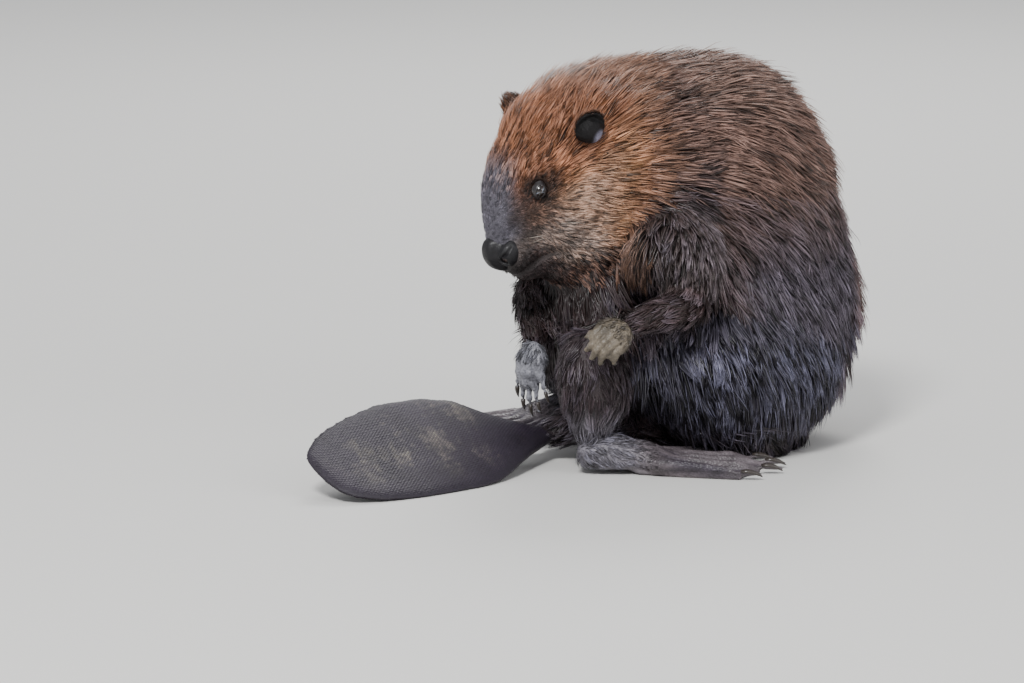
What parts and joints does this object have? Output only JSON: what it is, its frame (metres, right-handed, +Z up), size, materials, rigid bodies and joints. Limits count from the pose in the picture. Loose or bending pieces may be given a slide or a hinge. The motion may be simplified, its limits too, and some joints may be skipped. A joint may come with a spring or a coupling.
{
  "type": "beaver",
  "caption": "Life-size still model of a beaver sitting on its rump, head bowed, forepaws held at the chest, flat scaly tail drawn forward on the floor.",
  "frame": {"origin": "on the floor, under the middle of the whole animal's box", "axes": "the animal faces -X, its left side is towards -Y, +Z is up"},
  "size_m": [0.5658, 0.334, 0.3399],
  "materials": {
    "face_coat": "chestnut fur with darker streaks",
    "body_coat": "long wet brown fur with paler tips",
    "nose_skin": "wet black skin",
    "ear_skin": "dark short-haired skin",
    "paw_skin": "grey-brown wrinkled skin",
    "foot_skin": "dark grey webbed skin",
    "tail_scales": "small charcoal scales with dry mud",
    "eye": "glossy dark brown"
  },
  "bodies": {
    "root": {"head": "face_coat", "nose": "nose_skin", "eye_left": "eye", "eye_right": "eye", "ear_left": "ear_skin", "ear_right": "ear_skin", "neck": "body_coat", "trunk": "body_coat", "upper_arm_left": "body_coat", "upper_arm_right": "body_coat", "forearm_left": "body_coat", "forearm_right": "body_coat", "hand_left": "paw_skin", "hand_right": "paw_skin", "thigh_left": "body_coat", "thigh_right": "body_coat", "shank_left": "body_coat", "shank_right": "body_coat", "foot_left": "foot_skin", "foot_right": "foot_skin", "tail_root": "body_coat", "tail_blade": "tail_scales"}
  },
  "joints": []
}
